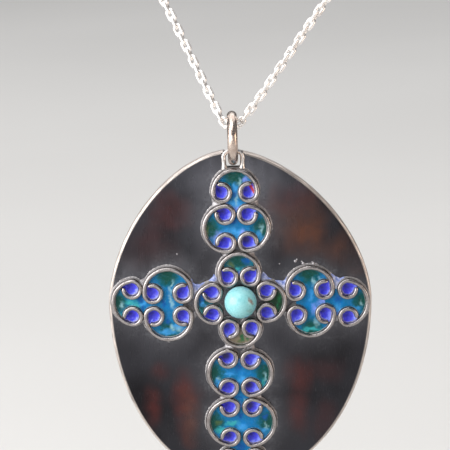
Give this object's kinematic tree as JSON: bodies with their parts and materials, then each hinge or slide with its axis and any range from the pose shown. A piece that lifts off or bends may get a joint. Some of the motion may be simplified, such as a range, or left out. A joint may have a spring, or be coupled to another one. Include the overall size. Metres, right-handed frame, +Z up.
{
  "type": "enamel pendant",
  "caption": "Egg-shaped silver pendant with a cross of wire scrolls filled with blue enamel and a turquoise bead, hanging from a jump ring on a worn cable chain.",
  "frame": {"origin": "where the necklace lies on the nape, at the middle of the clasp", "axes": "+Z up as worn, the pendant's front faces -Y, +X to the wearer's left"},
  "size_m": [0.1136, 0.1154, 0.1979],
  "materials": {
    "silver_plate": "polished silver plate darkened by oxide clouds, with pale soldered wires",
    "silver": "polished silver",
    "chain_silver": "bright polished silver wire",
    "blue_enamel": "glossy sky blue enamel that turns dark green at the wires",
    "cobalt_enamel": "glossy deep cobalt enamel",
    "turquoise": "polished pale turquoise with a little brown matrix"
  },
  "bodies": {
    "necklace": {"chain": "chain_silver", "clasp": "silver"},
    "ring": {"jump_ring": "silver"},
    "pendant": {"pendant_body": "silver_plate", "turquoise_bead": "turquoise", "field_petal_top": "blue_enamel", "field_petal_left": "blue_enamel", "field_petal_bottom": "blue_enamel", "field_petal_right": "blue_enamel", "field_top_cell": "blue_enamel", "field_top_end": "blue_enamel", "field_left_cell": "blue_enamel", "field_left_end": "blue_enamel", "field_right_cell": "blue_enamel", "field_right_end": "blue_enamel", "field_bottom_cell": "blue_enamel", "field_bottom_link": "blue_enamel", "field_low_cell": "blue_enamel", "field_bottom_end": "blue_enamel", "dot_petal_top_1": "cobalt_enamel", "dot_petal_top_2": "cobalt_enamel", "dot_petal_left_1": "cobalt_enamel", "dot_petal_left_2": "cobalt_enamel", "dot_petal_bottom_1": "cobalt_enamel", "dot_petal_bottom_2": "cobalt_enamel", "dot_petal_right_1": "cobalt_enamel", "dot_petal_right_2": "cobalt_enamel", "dot_top_cell_left_1": "cobalt_enamel", "dot_top_cell_left_2": "cobalt_enamel", "dot_top_cell_right_1": "cobalt_enamel", "dot_top_cell_right_2": "cobalt_enamel", "dot_top_end_1": "cobalt_enamel", "dot_top_end_2": "cobalt_enamel", "dot_left_cell_lower_1": "cobalt_enamel", "dot_left_cell_lower_2": "cobalt_enamel", "dot_left_cell_upper_1": "cobalt_enamel", "dot_left_cell_upper_2": "cobalt_enamel", "dot_left_end_1": "cobalt_enamel", "dot_left_end_2": "cobalt_enamel", "dot_right_cell_upper_1": "cobalt_enamel", "dot_right_cell_upper_2": "cobalt_enamel", "dot_right_cell_lower_1": "cobalt_enamel", "dot_right_cell_lower_2": "cobalt_enamel", "dot_right_end_1": "cobalt_enamel", "dot_right_end_2": "cobalt_enamel", "dot_bottom_cell_right_1": "cobalt_enamel", "dot_bottom_cell_right_2": "cobalt_enamel", "dot_bottom_cell_left_1": "cobalt_enamel", "dot_bottom_cell_left_2": "cobalt_enamel", "dot_low_cell_right_1": "cobalt_enamel", "dot_low_cell_right_2": "cobalt_enamel", "dot_low_cell_left_1": "cobalt_enamel", "dot_low_cell_left_2": "cobalt_enamel", "dot_bottom_end_1": "cobalt_enamel", "dot_bottom_end_2": "cobalt_enamel"}
  },
  "joints": [
    {"name": "ring_swing", "type": "hinge", "parent": "necklace", "child": "ring", "pos_m": [-0.006, -0.108, -0.14], "axis": [1, 0, 0], "range_deg": [-90, 90]},
    {"name": "pendant_swing", "type": "hinge", "parent": "ring", "child": "pendant", "pos_m": [-0.006, -0.108, -0.14366], "axis": [1, 0, 0], "range_deg": [-30, 30]}
  ]
}
